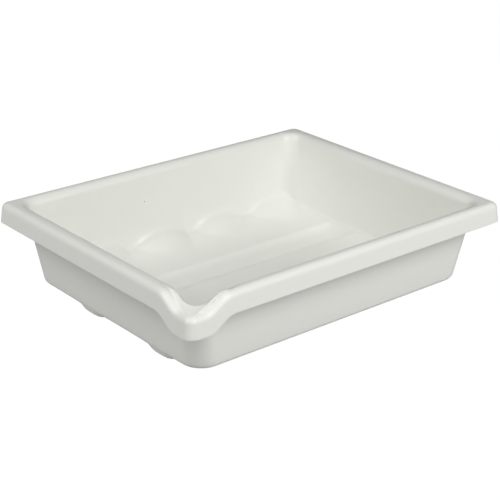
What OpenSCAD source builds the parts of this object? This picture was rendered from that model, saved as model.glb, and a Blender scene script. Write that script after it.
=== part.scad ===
// Photographic developing tray: one thin-walled plastic moulding, open at the top.
// Frame: +X along the length, +Y towards the back wall with the finger mounds, +Z up.
// The origin is at the middle of the tray's outline, on the surface it rests on.

/* [Rim] */
// Length over the rim, at the lower edge of its skirt
rim_l = 326; // [270:1:450]
// Width over the rim, at the lower edge of its skirt
rim_w = 261; // [215:1:360]
// Corner radius of the rim's outer face
rim_r = 9; // [6:0.5:20]
// How far the rim reaches out beyond the end walls
rim_end = 14; // [13:0.5:20]
// How far the rim reaches out beyond the long walls
rim_side = 12; // [12:0.5:20]
// Height of the skirt that hangs from the rim
skirt_h = 16; // [9:0.5:24]
// How far the skirt leans outwards from its top to its lower edge
skirt_flare = 1.5; // [0:0.1:3]
// Radius of the rim's outer top edge
rim_outer_round = 5.5; // [3:0.5:6]
// Radius with which the basin's walls turn outwards into the rim
rim_inner_round = 7.5; // [4:0.5:10]

/* [Basin] */
// Height of the rim's top above the underside of the floor
basin_h = 68; // [50:1:90]
// How far the end walls lean out between the floor and the rim
lean_end = 8.5; // [4:0.5:16]
// How far the long walls lean out between the floor and the rim
lean_side = 9; // [4:0.5:16]
// Corner radius of the floor, outside
floor_r = 19; // [12:1:30]
// Corner radius of the walls at the height of the rim, outside
mouth_r = 13; // [8:1:26]
// Radius where the walls meet the floor, inside
foot_round = 3; // [2:0.5:12]
// Radius where the walls meet the floor, outside
foot_outer_round = 4; // [2:0.5:6]
// Thickness of the walls, the floor, the rim and the skirt
wall = 2.5; // [1.5:0.1:3]

/* [Runners] */
// Depth of the two runners below the floor
runner_depth = 5; // [3:0.5:10]
// Width of a runner where it leaves the floor
runner_w = 36; // [28:1:46]
// Width of the flat strip that a runner rests on
runner_flat = 12; // [8:1:18]
// How far a runner's end leans in towards its lower edge
runner_end_lean = 4; // [2:0.5:10]
// Distance from the middle of the front runner to the outside of the floor's front edge
runner_front = 49.5; // [35:0.5:70]
// Distance from the middle of the back runner to the tips of the mounds
runner_back = 43; // [25:0.5:60]

/* [Finger mounds] */
// Number of mounds along the foot of the back wall
mound_count = 4; // [2:1:5]
// Distance from the first mound to the outside of the floor's left-hand edge
mound_left = 61; // [24:1:80]
// Distance from the last mound to the outside of the floor's right-hand edge
mound_right = 25; // [24:1:80]
// Half of a mound's width along the wall
mound_half_w = 24; // [14:1:24]
// How far a mound reaches from the wall's foot over the floor
mound_reach = 32; // [18:1:40]
// Height of a mound above the floor
mound_h = 13; // [8:1:24]

/* [Pouring lip] */
// How far the rim's inner edge dips at the lip
lip_dip = 9.8; // [3:0.2:12]
// How much further the skirt's lower edge dips
lip_hem_drop = 1; // [0:0.2:2]
// Reach of half the dip along the rim's inner edge, from its corner
lip_throat = 14.5; // [10:0.5:20]
// Reach of half the dip along the skirt's lower edge, from its corner
lip_spread = 29.5; // [22:0.5:36]
// Half of the length over which the dip fades out
lip_fade = 11.5; // [8:0.5:14]
// Height of the wall over which the dip fades out downwards
lip_wall_fade = 30; // [20:1:40]

/* [Hidden] */

colour = [0.9, 0.9, 0.87];
arc_steps = 6;
side_steps = 14;
dish_steps = 6;
mound_facets = 32;
overlap = 1;
thin = 0.01;
hem_round = wall * 0.3;
mouth_l = rim_l - 2 * rim_end;
mouth_w = rim_w - 2 * rim_side;
floor_l = mouth_l - 2 * lean_end;
floor_w = mouth_w - 2 * lean_side;
edge_round = min(rim_outer_round, min(rim_end, rim_side) + wall - rim_inner_round - skirt_flare);
under_round = max(rim_inner_round - wall, 0.5);
skirt_round = max(edge_round - wall, 0.5);
floor_z = runner_depth;
top_z = floor_z + basin_h;
hem_z = top_z - skirt_h;
crest_inset = rim_end + wall - rim_inner_round * 0.7;
runner_l = floor_l - foot_outer_round;
mound_tip_y = floor_w / 2 - wall - mound_reach;
runner_y = [runner_front - floor_w / 2, mound_tip_y - runner_back];
mound_first_x = mound_left - floor_l / 2;
mound_pitch = (floor_l - mound_left - mound_right) / (mound_count - 1);

function ease(t) = let (u = min(max(t, 0), 1)) u * u * (3 - 2 * u);
function mix(a, b, t) = a + (b - a) * t;

// Outline of the walls' outside at height z, moved outwards by d: half length, half width, corner radius
function wall_at(z, d) =
    let (t = (z - floor_z) / basin_h)
    [mix(floor_l, mouth_l, t) / 2 + d, mix(floor_w, mouth_w, t) / 2 + d, mix(floor_r, mouth_r, t) + d];

// A ring of the section is its outline, its height, how far it lies in from the skirt's lower edge,
// and the share of the lip's dip that it takes
function wall_ring(z, d) =
    let (o = wall_at(z, d))
    [o, z, rim_l / 2 - o[0], ease((z - top_z + lip_wall_fade) / lip_wall_fade)];
function turn_ring(z, d) =
    let (o = wall_at(top_z - rim_inner_round, d))
    [o, z, rim_l / 2 - o[0], 1];
function rim_ring(z, d) = [[rim_l / 2 - d, rim_w / 2 - d, max(rim_r - d, rim_r / 2)], z, d, 1];

// Points of a rounded rectangle, counter-clockwise from above, closer together towards its corners
function arc(c, r, from) = [
    for (k = [0 : arc_steps])
        let (a = from + 90 * k / arc_steps)
        c + r * [cos(a), sin(a)]
];
function side(p, q, steps) = steps < 2 ? [] : [for (k = [1 : steps - 1]) mix(p, q, (1 - cos(180 * k / steps)) / 2)];
function outline(o, steps = side_steps) =
    let (
        r = o[2],
        cx = o[0] - r,
        cy = o[1] - r,
        arcs = [arc([cx, cy], r, 0), arc([-cx, cy], r, 90), arc([-cx, -cy], r, 180), arc([cx, -cy], r, 270)]
    )
    [for (i = [0 : 3]) each concat(arcs[i], side(arcs[i][arc_steps], arcs[(i + 1) % 4][0], steps))];

// How far point p of ring g sinks for the lip at the front left corner
function lip_sink(p, g) =
    let (
        reach = p[0] + g[0][0] + p[1] + g[0][1],
        t = min(g[2] / crest_inset, 1),
        middle = mix(lip_spread, lip_throat, t),
        depth = mix(lip_dip + lip_hem_drop, lip_dip, t)
    )
    depth * g[3] * ease((middle + lip_fade - reach) / (2 * lip_fade));
function placed(g) = [for (p = outline(g[0])) [p[0], p[1], g[1] - lip_sink(p, g)]];

// A closed solid through rings with the same number of points, its first ring facing up
module loft(rings) {
    n = len(rings[0]);
    last = len(rings) - 1;
    sides = [
        for (i = [0 : last - 1], k = [0 : n - 1])
            let (m = (k + 1) % n)
            [i * n + k, i * n + m, (i + 1) * n + m, (i + 1) * n + k]
    ];
    caps = [[for (k = [n - 1 : -1 : 0]) k], [for (k = [0 : n - 1]) last * n + k]];
    polyhedron(points = [for (r = rings) each r], faces = concat(sides, caps), convexity = 6);
}

// The section, ring by ring: the basin's inside with its rounded foot, from the floor up
function basin_inside() = concat(
    [
        for (a = [0 : 22.5 : 90])
            wall_ring(floor_z + wall + foot_round * (1 - cos(a)), -wall - foot_round * (1 - sin(a)))
    ],
    [for (z = [top_z - lip_wall_fade : 5 : top_z - rim_inner_round - 1]) wall_ring(z, -wall)]
);

// The turn from the wall to the rim's flat top, and the rim's outer edge
function rim_top() = concat(
    [
        for (a = [0 : 22.5 : 90])
            turn_ring(top_z - rim_inner_round * (1 - sin(a)), rim_inner_round * (1 - cos(a)) - wall)
    ],
    [
        for (a = [0 : 30 : 90])
            rim_ring(top_z - edge_round * (1 - cos(a)), skirt_flare + edge_round * (1 - sin(a)))
    ]
);

// The skirt's outside, its rounded lower edge and its inside
function skirt() = [
    rim_ring(hem_z + hem_round, 0),
    rim_ring(hem_z, hem_round),
    rim_ring(hem_z, wall - hem_round),
    rim_ring(hem_z + hem_round, wall),
    for (a = [0 : 30 : 90])
        let (inner = wall + skirt_flare + skirt_round * (1 - cos(a)))
        rim_ring(top_z - wall - skirt_round * (1 - sin(a)), inner)
];

// The underside of the rim, the outside of the walls and the rounded edge of the floor
function basin_outside() = concat(
    [
        for (a = [90 : -22.5 : 0])
            turn_ring(top_z - wall - under_round * (1 - sin(a)), under_round * (1 - cos(a)))
    ],
    [for (z = [top_z - rim_inner_round - 2 : -6 : top_z - lip_wall_fade]) wall_ring(z, 0)],
    [
        for (a = [90 : -30 : 0])
            wall_ring(floor_z + foot_outer_round * (1 - cos(a)), -foot_outer_round * (1 - sin(a)))
    ]
);

// The shell with its rolled rim and pouring lip, before its floor gets runners and mounds
module shell() {
    loft([for (g = concat(basin_inside(), rim_top(), skirt(), basin_outside())) placed(g)]);
}

// A thin slice of a rounded outline, its lower face at height z
module slice(o, z) {
    translate([0, 0, z]) linear_extrude(thin) polygon(outline(o, 1));
}

// A dish that hangs below height z: half length l and half width w there, with rounded sides and ends
module dish(l, w, flat, z) {
    hull() {
        slice([l, w, w * 0.8], z + overlap - thin);
        for (k = [0 : dish_steps]) {
            a = 90 * k / dish_steps;
            half_w = mix(w, flat, 1 - cos(a));
            slice([l - runner_end_lean * (1 - cos(a)), half_w, half_w * 0.8], z - runner_depth * sin(a));
        }
    }
}

// Both runners, smaller by d all round: with d = 0 their outside, with d = wall the channels in them
module runners(d) {
    for (y = runner_y)
        translate([0, y, 0])
            dish(runner_l / 2 - d, runner_w / 2 - d, (runner_flat - d) / 2, floor_z + d);
}

// The mounds at the foot of the back wall, smaller by d: with d = wall the hollows under them
module mounds(d) {
    for (k = [0 : mound_count - 1])
        translate([mound_first_x + k * mound_pitch, floor_w / 2 - wall, floor_z])
            hull() {
                mound_ball(mound_half_w - d, mound_reach - d, mound_h * 0.6 + wall - d);
                mound_ball(mound_half_w * 0.7 - d, mound_reach * 0.5 - d, mound_h + wall - d);
            }
}
module mound_ball(rx, ry, rz) {
    scale([rx, ry, rz]) sphere(r = 1, $fn = mound_facets);
}

// The room inside the basin, reaching half way into the floor and the walls
module room() {
    hull() {
        slice(wall_at(hem_z, -wall / 2), hem_z);
        slice(wall_at(floor_z, -wall / 2), floor_z + wall / 2);
    }
}

module tray() {
    color(colour)
        difference() {
            union() {
                shell();
                runners(0);
                intersection() {
                    mounds(0);
                    room();
                }
            }
            runners(wall);
            mounds(wall);
        }
}

tray();
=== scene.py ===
# %% [markdown]
# # A darkroom developing tray
#
# This lesson builds a white plastic tray in which prints are developed in a darkroom. The real tray is
# one moulding: a single sheet of plastic, 2.5 mm thick, that is folded into a floor, four walls, a rolled
# rim with a skirt, and a pouring lip at one corner. Two channels and a row of mounds are pressed into it.
# We build it the same way: first a plain sheet with the folds, then the pressed shapes, then the thickness.

# %% Load the frame
import bpy, math
import numpy as np
from mathutils import Matrix, Vector


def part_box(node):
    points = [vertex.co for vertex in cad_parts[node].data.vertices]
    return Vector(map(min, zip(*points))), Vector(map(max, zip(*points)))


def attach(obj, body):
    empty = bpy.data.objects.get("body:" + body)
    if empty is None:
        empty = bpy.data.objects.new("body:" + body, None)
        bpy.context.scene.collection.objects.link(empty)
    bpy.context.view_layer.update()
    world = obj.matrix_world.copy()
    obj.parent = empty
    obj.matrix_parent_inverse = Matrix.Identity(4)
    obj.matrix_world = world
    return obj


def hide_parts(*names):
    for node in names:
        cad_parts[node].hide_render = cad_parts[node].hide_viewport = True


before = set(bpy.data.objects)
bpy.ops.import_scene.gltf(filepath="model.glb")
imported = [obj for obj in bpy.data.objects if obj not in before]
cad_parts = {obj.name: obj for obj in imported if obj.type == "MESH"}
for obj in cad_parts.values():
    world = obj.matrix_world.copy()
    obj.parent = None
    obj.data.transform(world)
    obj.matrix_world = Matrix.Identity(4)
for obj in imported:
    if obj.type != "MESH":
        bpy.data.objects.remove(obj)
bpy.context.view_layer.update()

# %% [markdown]
# ## Sizes
#
# The frame tells us where the tray's outside is. The other sizes are those of the design, in metres. Each
# is written once and has a name, because every later step works its places out from them.

# %% Name the sizes
mm = 0.001
tray_low, tray_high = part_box("tray")
rim_half = Vector(((tray_high.x - tray_low.x) / 2, (tray_high.y - tray_low.y) / 2))
top = tray_high.z                   # height of the rim's top
wall = 2.5 * mm                     # thickness of the plastic everywhere
channel_depth = 5 * mm
under_floor = tray_low.z + channel_depth
floor_top = under_floor + wall
all_round = Vector((wall, wall))     # outside halves less this are inside halves
floor_half = Vector((140.5, 109.5)) * mm - all_round
floor_round = 19 * mm - wall        # corner radius of the basin's floor, inside
mouth_half = Vector((149, 118.5)) * mm - all_round
mouth_round = 13 * mm - wall
foot_radius = 2.5 * mm              # where the walls meet the floor, inside
turn_radius = 7.5 * mm              # where the walls turn outwards into the rim
edge_radius = 5.5 * mm              # the rim's outer edge
rim_corner = 9 * mm                 # corner radius of the rim's outer face
skirt_height = 16 * mm
skirt_flare = 1.5 * mm              # how far the skirt leans outwards
lip_wall_fade = 30 * mm             # height of the wall over which the lip's dip fades out
print("Basin inside:", [round(2 * v / mm) for v in floor_half], "mm, rim at", round(top / mm), "mm")


# %% [markdown]
# ## The camera
#
# The tray is seen from its front left corner, a little from above, with a long lens that keeps its edges
# nearly parallel. We place the camera first, so that every later step can be judged in the same view. Its
# three axes are worked out from two angles and a small roll, and put straight into the camera's matrix.

# %% Place the camera
def place_camera(azimuth, elevation, roll, distance, rise, aim, lens):
    around, above, tip = (math.radians(angle) for angle in (azimuth, elevation, roll))
    back = Vector((math.sin(around) * math.cos(above), -math.cos(around) * math.cos(above), math.sin(above)))
    level = Vector((math.cos(around), math.sin(around), 0))
    upright = back.cross(level)
    right = level * math.cos(tip) + upright * math.sin(tip)
    up = upright * math.cos(tip) - level * math.sin(tip)
    camera = bpy.data.objects.new("camera", bpy.data.cameras.new("camera"))
    bpy.context.scene.collection.objects.link(camera)
    axes = Matrix((right, up, back)).transposed().to_4x4()
    camera.matrix_world = Matrix.Translation(aim + back * distance + up * rise) @ axes
    camera.data.lens = lens
    camera.data.clip_end = 20
    bpy.context.scene.camera = camera
    return camera


aim = Vector((0, 0, under_floor + 1.5 * mm))
camera = place_camera(
    azimuth=-39.79, elevation=22.996, roll=0.4556, distance=1.17669, rise=21.6 * mm, aim=aim, lens=100.92
)
print("Camera at", [round(v, 3) for v in camera.location], "with a lens of", round(camera.data.lens, 1), "mm")

# %% [markdown]
# ## The folded sheet
#
# The sheet's shape follows one rule: the same section goes all the way round, on a rounded rectangle that
# changes slowly from ring to ring. So each ring of the section is an outline (half length, half width and
# corner radius) at a height. The rings start where the floor begins to turn up, climb the wall, roll over
# the rim and end at the skirt's lower edge. A modelled profile swept along a curve could do this too, but
# the walls lean by different amounts at the ends and the sides, and rings can follow that exactly.

# %% List the rings of the section
def mix(a, b, t):
    return a + (b - a) * t


def wall_outline(z, outwards=0.0):
    t = (z - under_floor) / (top - under_floor)
    half = floor_half.lerp(mouth_half, t)
    return half.x + outwards, half.y + outwards, mix(floor_round, mouth_round, t) + outwards


def rim_outline(inwards):
    return rim_half.x - inwards, rim_half.y - inwards, max(rim_corner - inwards, rim_corner / 2)


def ease(t):
    t = min(max(t, 0), 1)
    return t * t * (3 - 2 * t)


def ring(outline, z, dips=1.0):
    """An outline at a height, and how much of the lip's dip it takes."""
    return {"outline": outline, "z": z, "dips": dips}


def quarter(steps):
    return [math.radians(90 * k / steps) for k in range(steps + 1)]


def section_rings():
    rings = []
    for a in quarter(8):  # the rounded foot
        z = floor_top + foot_radius * (1 - math.cos(a))
        rings.append(ring(wall_outline(z, -foot_radius * (1 - math.sin(a))), z, 0.0))
    turn_z = top - turn_radius
    wall_steps = 12
    for k in range(1, wall_steps):  # the plain wall
        z = mix(floor_top + foot_radius, turn_z, k / wall_steps)
        rings.append(ring(wall_outline(z), z, ease((z - top + lip_wall_fade) / lip_wall_fade)))
    for a in quarter(9):  # the turn into the rim
        outline = wall_outline(turn_z, turn_radius * (1 - math.cos(a)))
        rings.append(ring(outline, turn_z + turn_radius * math.sin(a)))
    for a in quarter(6):  # the rim's outer edge
        inwards = skirt_flare + edge_radius * (1 - math.sin(a))
        rings.append(ring(rim_outline(inwards), top - edge_radius * (1 - math.cos(a))))
    skirt_steps = 6
    for k in range(1, skirt_steps + 1):  # the skirt
        z = mix(top - edge_radius, top - skirt_height, k / skirt_steps)
        rings.append(ring(rim_outline(skirt_flare * (1 - k / skirt_steps)), z))
    return rings


rings = section_rings()
print(len(rings), "rings from the floor to the skirt's lower edge")

# %% [markdown]
# ## The grid that carries the rings
#
# A rectangular grid covers the floor, and its border continues as the rings, so the whole sheet is made of
# four-sided faces without a seam. The grid's lines stand closer together where the shape will bend most:
# along the edges of the channels, at the corners and near the lip.

# %% Space the grid's lines
channel_half_width = 15.5 * mm
channel_flat = 5 * mm               # half of the flat strip along a channel's bottom
channel_half_length = floor_half.x - 0.5 * mm
channel_corner = 12 * mm
front_channel_y = -60 * mm
channel_pitch = 92 * mm
channel_edges = [
    front_channel_y + k * channel_pitch + side * channel_half_width for k in (0, 1) for side in (-1, 1)
]


def spaced(half, count, crowds):
    """Positions from -half to half, closer together round each (place, width, gain) in crowds."""
    fine = np.linspace(-half, half, 6001)
    weight = 1 + sum(gain * np.exp(-(((fine - place) / width) ** 2)) for place, width, gain in crowds)
    climb = np.concatenate([[0], np.cumsum((weight[1:] + weight[:-1]) / 2)])
    return np.interp(np.linspace(0, climb[-1], count + 1), climb, fine)


first = rings[0]["outline"]
lines_x = spaced(first[0], 136, [(s * first[0], 10 * mm, 2.2) for s in (-1, 1)] + [(-0.105, 25 * mm, 0.8)])
lines_y = spaced(
    first[1],
    120,
    [(s * first[1], 10 * mm, 2.2) for s in (-1, 1)] + [(y, 2.5 * mm, 4.5) for y in channel_edges],
)
print("Grid lines:", len(lines_x), "along and", len(lines_y), "across")


# %% [markdown]
# Each border point has a place on every ring. On a straight stretch it keeps its share of the length, and
# in a corner its share of the arc, so the lines that climb the wall never cross.

# %% Make the folded sheet
def side_points(lines, along, across, radius, first_along, first_radius):
    """The points of one side as (along, outwards), with half of the corner arc at each end."""
    straight = first_along - first_radius
    points = []
    for s in lines:
        if abs(s) <= straight:
            points.append((s * (along - radius) / straight, across))
        else:
            a = math.radians(45 * (abs(s) - straight) / first_radius)
            reached = along - radius + radius * math.sin(a)
            points.append((math.copysign(reached, s), across - radius + radius * math.cos(a)))
    return points


def border(outline):
    half_x, half_y, radius = outline
    along = side_points(lines_x, half_x, half_y, radius, first[0], first[2])
    across = side_points(lines_y, half_y, half_x, radius, first[1], first[2])
    front = [(s, -out) for s, out in along]
    right = [(out, s) for s, out in across]
    rear = [(s, out) for s, out in reversed(along)]
    left = [(-out, s) for s, out in reversed(across)]
    return [p for side in (front, right, rear, left) for p in side[:-1]]


def floor_patch():
    """The floor's grid: its border is the first ring, and the inside is blended from the four sides."""
    along = np.array(side_points(lines_x, first[0], first[1], first[2], first[0], first[2]))
    across = np.array(side_points(lines_y, first[1], first[0], first[2], first[1], first[2]))
    u = ((lines_x / first[0] + 1) / 2)[:, None, None]
    v = ((lines_y / first[1] + 1) / 2)[None, :, None]
    front = np.stack([along[:, 0], -along[:, 1]], 1)[:, None]
    rear = along[:, None]
    left = np.stack([-across[:, 1], across[:, 0]], 1)[None]
    right = across[None, :, ::-1]
    corners = (1 - u) * (1 - v) * front[0, 0] + u * (1 - v) * front[-1, 0] + (1 - u) * v * rear[0, 0]
    corners = corners + u * v * rear[-1, 0]
    return (1 - v) * front + v * rear + (1 - u) * left + u * right - corners


def folded_sheet():
    nx, ny = len(lines_x), len(lines_y)
    patch = floor_patch()
    points = [(x, y, floor_top) for x, y in patch.reshape(-1, 2)]
    reach, inset, dips = ([0.0] * len(points) for _ in range(3))
    grid = lambda i, j: i * ny + j
    faces = [
        (grid(i, j), grid(i + 1, j), grid(i + 1, j + 1), grid(i, j + 1))
        for i in range(nx - 1)
        for j in range(ny - 1)
    ]
    loop = [grid(i, 0) for i in range(nx - 1)] + [grid(nx - 1, j) for j in range(ny - 1)]
    loop += [grid(i, ny - 1) for i in range(nx - 1, 0, -1)] + [grid(0, j) for j in range(ny - 1, 0, -1)]
    for r in rings[1:]:
        half_x, half_y, _ = r["outline"]
        start = len(points)
        for x, y in border(r["outline"]):
            points.append((x, y, r["z"]))
            reach.append(x + half_x + y + half_y)
            inset.append(rim_half.x - half_x)
            dips.append(r["dips"])
        new = list(range(start, len(points)))
        faces += [
            (loop[k], new[k], new[(k + 1) % len(new)], loop[(k + 1) % len(new)]) for k in range(len(new))
        ]
        loop = new
    mesh = bpy.data.meshes.new("tray")
    mesh.from_pydata(points, [], faces)
    for name, values in (("lip_reach", reach), ("lip_inset", inset), ("lip_share", dips)):
        mesh.attributes.new(name, "FLOAT", "POINT").data.foreach_set("value", values)
    mesh.validate()
    sheet = bpy.data.objects.new("tray_moulding", mesh)
    bpy.context.scene.collection.objects.link(sheet)
    return sheet


tray = folded_sheet()
print("The sheet has", len(tray.data.polygons), "faces")

# %% [markdown]
# ## Writing formulas as nodes
#
# The pressed shapes follow formulas, and Geometry Nodes can work them out for every point of the sheet.
# A formula of ten terms needs ten Math nodes, so we wrap a socket in a small class: adding or multiplying
# two wrapped sockets makes the Math node that does it, and the formula can be read as one.

# %% Wrap a socket
class Term:
    def __init__(self, nodes, links, socket):
        self.nodes, self.links, self.socket = nodes, links, socket

    def math(self, operation, *others, clamp=False):
        node = self.nodes.new("ShaderNodeMath")
        node.operation = operation
        node.use_clamp = clamp
        for slot, value in zip(node.inputs, (self, *others)):
            if isinstance(value, Term):
                self.links.new(value.socket, slot)
            else:
                slot.default_value = value
        return Term(self.nodes, self.links, node.outputs[0])

    def __add__(self, other):
        return self.math("ADD", other)

    def __sub__(self, other):
        return self.math("SUBTRACT", other)

    def __mul__(self, other):
        return self.math("MULTIPLY", other)

    def __truediv__(self, other):
        return self.math("DIVIDE", other)

    __radd__ = __add__
    __rmul__ = __mul__

    def less_from(self, value):
        """value - self"""
        return (self * -1.0) + value

    def root(self):
        return self.math("SQRT")

    def size(self):
        return self.math("ABSOLUTE")

    def at_least(self, other):
        return self.math("MAXIMUM", other)

    def at_most(self, other):
        return self.math("MINIMUM", other)


def eased(t):
    t = t.math("MULTIPLY", 1.0, clamp=True)
    return t * t * (t * -2.0 + 3.0)


# %% [markdown]
# ## Pressing the channels, the mounds and the lip
#
# One node tree presses all three into the sheet, and its inputs are the sizes.
#
# - A channel sinks with the distance from its outline, a rounded rectangle. The depth follows a quarter
#   ellipse, so the sides are steep and the bottom is flat. Distances along the channel are stretched, so
#   its ends are blunter than its sides.
# - A mound pushes points away from a line behind the foot of the back wall, out to an egg shape. A smooth
#   maximum of the two distances leaves a soft crease instead of a sharp one. The mounds repeat at an even
#   pitch, so each point only needs its nearest mound.
# - The lip sinks the rim near one corner. Points on the skirt sink over a wider stretch than those on the
#   inner edge, which gives the spout its spread.

# %% Build the press
def input_socket(tree, name, kind="NodeSocketFloat"):
    return tree.interface.new_socket(name=name, in_out="INPUT", socket_type=kind)


PRESS_SIZES = (
    "Channel depth", "Channel half length", "Channel half width", "Channel flat", "Channel corner",
    "Channel end slope", "Channel edge", "Front channel", "Channel pitch",
    "Last mound", "Mound pitch", "Mound count", "Mound half width", "Mound reach", "Mound height",
    "Mound crease", "Foot line Y", "Foot line Z",
    "Lip dip", "Lip hem drop", "Lip throat", "Lip spread", "Lip fade", "Crest inset",
)


def channel_sink(x, y, size, middle_y):
    slope = size["Channel half width"] - size["Channel flat"]
    stretch = slope / size["Channel end slope"]
    from_x = (x.size() - size["Channel half length"]) * stretch + size["Channel corner"]
    from_y = (y - middle_y).size() - size["Channel half width"] + size["Channel corner"]
    beyond_x, beyond_y = from_x.at_least(0.0), from_y.at_least(0.0)
    outside = (beyond_x * beyond_x + beyond_y * beyond_y).root()
    distance = outside + from_x.at_least(from_y).at_most(0.0) - size["Channel corner"]
    t = distance * -1.0 / slope
    soft = size["Channel edge"] / slope
    t = ((t * t + soft * soft).root() + t) * 0.5
    left_over = t.at_most(1.0).less_from(1.0)
    return size["Channel depth"] * (left_over * left_over).less_from(1.0).root()


def mound_push(x, y, z, size):
    """How far a point's distance from the foot line grows, and the two parts of its direction."""
    number = ((size["Last mound"] - x) / size["Mound pitch"]).math("ROUND").at_least(0.0)
    number = number.at_most(size["Mound count"] - 1.0)
    off = (x - size["Last mound"] + number * size["Mound pitch"]) / size["Mound half width"]
    out_y, out_z = size["Foot line Y"] - y, z - size["Foot line Z"]
    distance = (out_y * out_y + out_z * out_z).root()
    toward_y, toward_z = out_y / distance, out_z / distance
    over = toward_y / size["Mound reach"]
    up = toward_z / size["Mound height"]
    egg = (off * off).less_from(1.0).at_least(0.0).root() / (over * over + up * up).root()
    blend = ((distance - egg).size().less_from(size["Mound crease"]) / size["Mound crease"]).at_least(0.0)
    pushed = distance.at_least(egg) + blend * blend * size["Mound crease"] * 0.25
    growth = (pushed - distance) * out_y.math("GREATER_THAN", 0.0)
    return growth, toward_y, toward_z


def lip_sink(reach, inset, share, size):
    t = (inset / size["Crest inset"]).at_most(1.0)
    middle = size["Lip spread"] + (size["Lip throat"] - size["Lip spread"]) * t
    depth = size["Lip dip"] + size["Lip hem drop"] * t.less_from(1.0)
    return depth * share * eased((middle + size["Lip fade"] - reach) / (size["Lip fade"] * 2.0))


def press_tree():
    tree = bpy.data.node_groups.new("Press channels, mounds and lip", "GeometryNodeTree")
    nodes, links = tree.nodes, tree.links
    input_socket(tree, "Sheet", "NodeSocketGeometry")
    for name in PRESS_SIZES:
        input_socket(tree, name)
    input_socket(tree, "Plastic", "NodeSocketMaterial")
    tree.interface.new_socket(name="Moulding", in_out="OUTPUT", socket_type="NodeSocketGeometry")
    entry, leave = nodes.new("NodeGroupInput"), nodes.new("NodeGroupOutput")
    size = {name: Term(nodes, links, entry.outputs[name]) for name in PRESS_SIZES}

    def named(name):
        node = nodes.new("GeometryNodeInputNamedAttribute")
        node.data_type = "FLOAT"
        node.inputs["Name"].default_value = name
        return Term(nodes, links, node.outputs["Attribute"])

    place = nodes.new("ShaderNodeSeparateXYZ")
    links.new(nodes.new("GeometryNodeInputPosition").outputs["Position"], place.inputs[0])
    x, y, z = (Term(nodes, links, socket) for socket in place.outputs)

    rear_y = size["Front channel"] + size["Channel pitch"]
    sink = channel_sink(x, y, size, size["Front channel"]) + channel_sink(x, y, size, rear_y)
    growth, toward_y, toward_z = mound_push(x, y, z, size)
    dip = lip_sink(named("lip_reach"), named("lip_inset"), named("lip_share"), size)

    offset = nodes.new("ShaderNodeCombineXYZ")
    links.new((growth * toward_y * -1.0).socket, offset.inputs["Y"])
    links.new((growth * toward_z - sink - dip).socket, offset.inputs["Z"])
    move = nodes.new("GeometryNodeSetPosition")
    links.new(entry.outputs["Sheet"], move.inputs["Geometry"])
    links.new(offset.outputs[0], move.inputs["Offset"])
    realize = nodes.new("GeometryNodeRealizeInstances")
    links.new(move.outputs[0], realize.inputs[0])
    finish = nodes.new("GeometryNodeSetMaterial")
    links.new(realize.outputs[0], finish.inputs["Geometry"])
    links.new(entry.outputs["Plastic"], finish.inputs["Material"])
    links.new(finish.outputs[0], leave.inputs[0])
    return tree


press = press_tree()
print("The press has", len(press.nodes), "nodes")

# %% [markdown]
# ## The plastic
#
# The tray is made of white plastic that lets a little light in, so a shaded wall still glows softly. It
# has a satin gloss: wide, soft highlights on the rim. A moulded surface isn't perfectly even, so two small
# groups supply what varies. One gives the faint waviness and the fine grain of the mould. The other gives
# the few dark specks and the dull patches that handling leaves. Both read Object coordinates, so they stay
# on the tray from every side. What is the same everywhere is set on the shader itself.

# %% Make the shader groups
def shader_group(name, inputs, outputs):
    group = bpy.data.node_groups.new(name, "ShaderNodeTree")
    for label, kind, value in inputs:
        socket = group.interface.new_socket(name=label, in_out="INPUT", socket_type=kind)
        if value is not None:
            socket.default_value = value
    for label, kind in outputs:
        group.interface.new_socket(name=label, in_out="OUTPUT", socket_type=kind)
    return group, group.nodes.new("NodeGroupInput"), group.nodes.new("NodeGroupOutput")


def noise(group, vector, scale, detail, roughness=0.5):
    node = group.nodes.new("ShaderNodeTexNoise")
    group.links.new(vector, node.inputs["Vector"])
    node.inputs["Scale"].default_value = scale
    node.inputs["Detail"].default_value = detail
    node.inputs["Roughness"].default_value = roughness
    return node.outputs[0]


def moulded_surface_group():
    group, entry, leave = shader_group(
        "Moulded surface",
        [
            ("Vector", "NodeSocketVector", None),
            ("Waviness", "NodeSocketFloat", 1.0),
            ("Grain", "NodeSocketFloat", 1.0),
        ],
        [("Height", "NodeSocketFloat")],
    )
    nodes, links = group.nodes, group.links
    vector = entry.outputs["Vector"]
    wave = Term(nodes, links, noise(group, vector, 22.0, 1.0)) * Term(nodes, links, entry.outputs["Waviness"])
    grain = Term(nodes, links, noise(group, vector, 1400.0, 2.0)) * Term(nodes, links, entry.outputs["Grain"])
    links.new((wave + grain).socket, leave.inputs["Height"])
    return group


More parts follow.
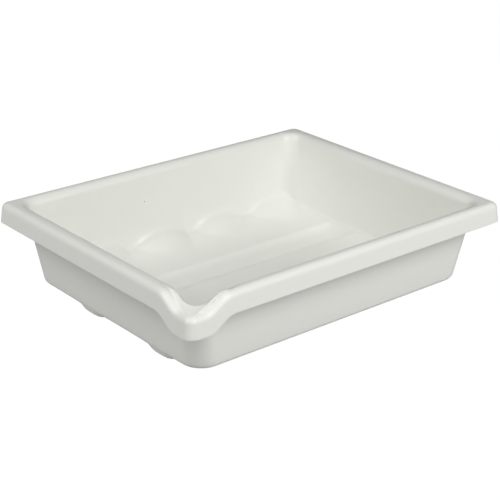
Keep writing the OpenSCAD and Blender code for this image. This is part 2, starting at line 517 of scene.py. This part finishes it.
def handling_marks_group():
    group, entry, leave = shader_group(
        "Handling marks",
        [
            ("Vector", "NodeSocketVector", None),
            ("Clean colour", "NodeSocketColor", (0.8, 0.8, 0.8, 1)),
            ("Speck colour", "NodeSocketColor", (0.3, 0.25, 0.2, 1)),
            ("Smooth roughness", "NodeSocketFloat", 0.3),
            ("Dull roughness", "NodeSocketFloat", 0.45),
            ("Speck size", "NodeSocketFloat", 0.04),
        ],
        [("Colour", "NodeSocketColor"), ("Roughness", "NodeSocketFloat")],
    )
    nodes, links = group.nodes, group.links
    vector = entry.outputs["Vector"]
    patches = nodes.new("ShaderNodeMapRange")
    links.new(noise(group, vector, 9.0, 3.0, 0.6), patches.inputs["Value"])
    patches.inputs["From Min"].default_value = 0.2
    patches.inputs["From Max"].default_value = 0.8
    links.new(entry.outputs["Smooth roughness"], patches.inputs["To Min"])
    links.new(entry.outputs["Dull roughness"], patches.inputs["To Max"])
    links.new(patches.outputs[0], leave.inputs["Roughness"])

    cells = nodes.new("ShaderNodeTexVoronoi")
    cells.inputs["Scale"].default_value = 38.0
    links.new(vector, cells.inputs["Vector"])
    speck_size = Term(nodes, links, entry.outputs["Speck size"])
    inside = Term(nodes, links, cells.outputs["Distance"]).math("LESS_THAN", speck_size)
    pick = nodes.new("ShaderNodeSeparateColor")
    links.new(cells.outputs["Color"], pick.inputs[0])
    rare = Term(nodes, links, pick.outputs[0]).math("GREATER_THAN", 0.9)
    speckled = nodes.new("ShaderNodeMix")
    speckled.data_type = "RGBA"
    links.new((inside * rare * 0.55).socket, speckled.inputs["Factor"])
    links.new(entry.outputs["Clean colour"], speckled.inputs["A"])
    links.new(entry.outputs["Speck colour"], speckled.inputs["B"])
    links.new(speckled.outputs["Result"], leave.inputs["Colour"])
    return group


moulded_surface = moulded_surface_group()
handling_marks = handling_marks_group()
print("Shader groups:", moulded_surface.name, "and", handling_marks.name)


# %% Make the tray's plastic
def group_node(material, group, **values):
    node = material.node_tree.nodes.new("ShaderNodeGroup")
    node.node_tree = group
    for name, value in values.items():
        node.inputs[name.replace("_", " ")].default_value = value
    return node


def bump_from(material, height, distance, strength):
    bump = material.node_tree.nodes.new("ShaderNodeBump")
    bump.inputs["Distance"].default_value = distance
    bump.inputs["Strength"].default_value = strength
    material.node_tree.links.new(height, bump.inputs["Height"])
    return bump.outputs["Normal"]


def white_plastic():
    material = bpy.data.materials.new("white_moulded_plastic")
    material.use_nodes = True
    nodes, links = material.node_tree.nodes, material.node_tree.links
    shader = nodes["Principled BSDF"]
    shader.inputs["IOR"].default_value = 1.5
    shader.inputs["Subsurface Weight"].default_value = 0.12
    shader.inputs["Subsurface Radius"].default_value = (1.0, 0.95, 0.85)
    shader.inputs["Subsurface Scale"].default_value = 2 * mm
    place = nodes.new("ShaderNodeTexCoord").outputs["Object"]
    marks = group_node(
        material, handling_marks, Clean_colour=(0.88, 0.885, 0.835, 1), Speck_colour=(0.25, 0.2, 0.14, 1),
        Smooth_roughness=0.32, Dull_roughness=0.42, Speck_size=0.035,
    )
    surface = group_node(material, moulded_surface, Waviness=1.0, Grain=0.02)
    for node in (marks, surface):
        links.new(place, node.inputs["Vector"])
    links.new(marks.outputs["Colour"], shader.inputs["Base Color"])
    links.new(marks.outputs["Roughness"], shader.inputs["Roughness"])
    links.new(bump_from(material, surface.outputs["Height"], 0.6 * mm, 0.35), shader.inputs["Normal"])
    return material


plastic = white_plastic()
print("The tray's plastic:", plastic.name)

# %% [markdown]
# ## Press the sheet and give it its thickness
#
# The press goes on the sheet as a modifier, and each size is set by its socket's identifier. Solidify then
# gives the plastic its thickness on the outside only, so the basin keeps its size and the channels come out
# as runners below the floor, just as they do on the real moulding. A small bevel rounds the skirt's lower
# edge. The result is turned into a plain mesh, because the tray is finished and nothing in it moves.

# %% Set the sizes of the press
press_sizes = {
    "Channel depth": channel_depth, "Channel half length": channel_half_length,
    "Channel half width": channel_half_width, "Channel flat": channel_flat,
    "Channel corner": channel_corner, "Channel end slope": 3 * mm, "Channel edge": 1.2 * mm,
    "Front channel": front_channel_y, "Channel pitch": channel_pitch,
    "Last mound": 115.5 * mm, "Mound pitch": 65 * mm, "Mound count": 4,
    "Mound half width": 27 * mm, "Mound reach": 38 * mm, "Mound height": 13 * mm, "Mound crease": 13 * mm,
    "Foot line Y": floor_half.y + 6 * mm, "Foot line Z": floor_top - 6 * mm,
    "Lip dip": 9.8 * mm, "Lip hem drop": 1 * mm, "Lip throat": 14.5 * mm, "Lip spread": 29.5 * mm,
    "Lip fade": 11.5 * mm, "Crest inset": 10.9 * mm,
}


def set_input(modifier, name, value):
    for item in modifier.node_group.interface.items_tree:
        if item.name == name and item.in_out == "INPUT":
            modifier[item.identifier] = value


pressing = tray.modifiers.new("press", "NODES")
pressing.node_group = press
for size_name, size_value in press_sizes.items():
    set_input(pressing, size_name, float(size_value))
set_input(pressing, "Plastic", plastic)

# %% Add the thickness and the rounded lower edge
thicken = tray.modifiers.new("thickness", "SOLIDIFY")
thicken.thickness = wall
thicken.offset = -1
thicken.use_quality_normals = True
soften = tray.modifiers.new("soft_edge", "BEVEL")
soften.width = 0.8 * mm
soften.segments = 3
soften.limit_method = "ANGLE"
soften.angle_limit = math.radians(60)
bpy.context.view_layer.update()
finished = bpy.data.meshes.new_from_object(tray.evaluated_get(bpy.context.evaluated_depsgraph_get()))
tray.modifiers.clear()
tray.data = finished
finished.name = "tray_moulding"
finished.materials.clear()
finished.materials.append(plastic)
finished.polygons.foreach_set("use_smooth", [True] * len(finished.polygons))
triangles = sum(len(face.vertices) - 2 for face in finished.polygons)
print("The moulding has", triangles, "triangles")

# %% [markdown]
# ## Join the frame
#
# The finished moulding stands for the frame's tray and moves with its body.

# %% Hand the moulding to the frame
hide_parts("tray")
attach(tray, "root")

# %% [markdown]
# ## Floor and light
#
# White plastic only shows its shape when its sides get different amounts of light. So the tray is lit by
# four soft lights, a low and a high one in front of it and a low and a high one at its left, while its
# front left corner looks into the dark between them. The floor looks pure white to the camera, but gives
# off only about a third of that as light, which reaches the walls from below. Hardly any light comes from
# all round, because that would fill the shadows inside the basin.

# %% Make the floor
def pale_floor(reach, glow_on_tray):
    corners = [(-reach, -reach, 0), (reach, -reach, 0), (reach, reach, 0), (-reach, reach, 0)]
    mesh = bpy.data.meshes.new("floor")
    mesh.from_pydata(corners, [], [(0, 1, 2, 3)])
    floor = bpy.data.objects.new("floor", mesh)
    bpy.context.scene.collection.objects.link(floor)
    material = bpy.data.materials.new("white_paper")
    material.use_nodes = True
    nodes, links = material.node_tree.nodes, material.node_tree.links
    shader = nodes["Principled BSDF"]
    shader.inputs["Base Color"].default_value = (0.05, 0.05, 0.05, 1)
    shader.inputs["Roughness"].default_value = 0.9
    shader.inputs["Specular IOR Level"].default_value = 0
    shader.inputs["Emission Color"].default_value = (1, 1, 1, 1)
    glow = nodes.new("ShaderNodeMix")
    glow.inputs["A"].default_value = glow_on_tray
    glow.inputs["B"].default_value = 1
    links.new(nodes.new("ShaderNodeLightPath").outputs["Is Camera Ray"], glow.inputs["Factor"])
    links.new(glow.outputs["Result"], shader.inputs["Emission Strength"])
    mesh.materials.append(material)
    return floor


floor_gap = 0.2 * mm                # the floor lies this far below the tray, so the two never touch
floor = pale_floor(reach=6.0, glow_on_tray=0.32)
floor.location.z = tray_low.z - floor_gap


# %% Place the lights
def soft_light(name, azimuth, elevation, power):
    """A square light that faces the tray; its azimuth is measured from the front towards the right."""
    distance, side = 1.7, 0.8
    around, above = math.radians(azimuth), math.radians(elevation)
    level = distance * math.cos(above)
    light = bpy.data.lights.new(name, "AREA")
    light.size, light.energy = side, power
    lamp = bpy.data.objects.new(name, light)
    lamp.location = (level * math.sin(around), -level * math.cos(around), distance * math.sin(above))
    lamp.rotation_euler = (-Vector(lamp.location)).to_track_quat("-Z", "Y").to_euler()
    bpy.context.scene.collection.objects.link(lamp)
    return lamp


def white_surround(strength):
    """A world that lights the tray with a given strength and looks white to the camera."""
    world = bpy.data.worlds.new("studio")
    world.use_nodes = True
    nodes, links = world.node_tree.nodes, world.node_tree.links
    choose = nodes.new("ShaderNodeMix")
    links.new(nodes.new("ShaderNodeLightPath").outputs["Is Camera Ray"], choose.inputs["Factor"])
    choose.inputs["A"].default_value = strength
    choose.inputs["B"].default_value = 1
    background = nodes["Background"]
    background.inputs["Color"].default_value = (1, 1, 1, 1)
    links.new(choose.outputs["Result"], background.inputs["Strength"])
    return world


lights = [
    soft_light("front_low", azimuth=8, elevation=12, power=6.0),
    soft_light("front_high", azimuth=8, elevation=42, power=15.6),
    soft_light("left_low", azimuth=-100, elevation=15, power=3.3),
    soft_light("left_high", azimuth=-100, elevation=45, power=12.0),
]
bpy.context.scene.world = white_surround(strength=0.01)
bpy.context.scene.view_settings.view_transform = "Standard"
print("Soft lights:", ", ".join(lamp.name for lamp in lights))
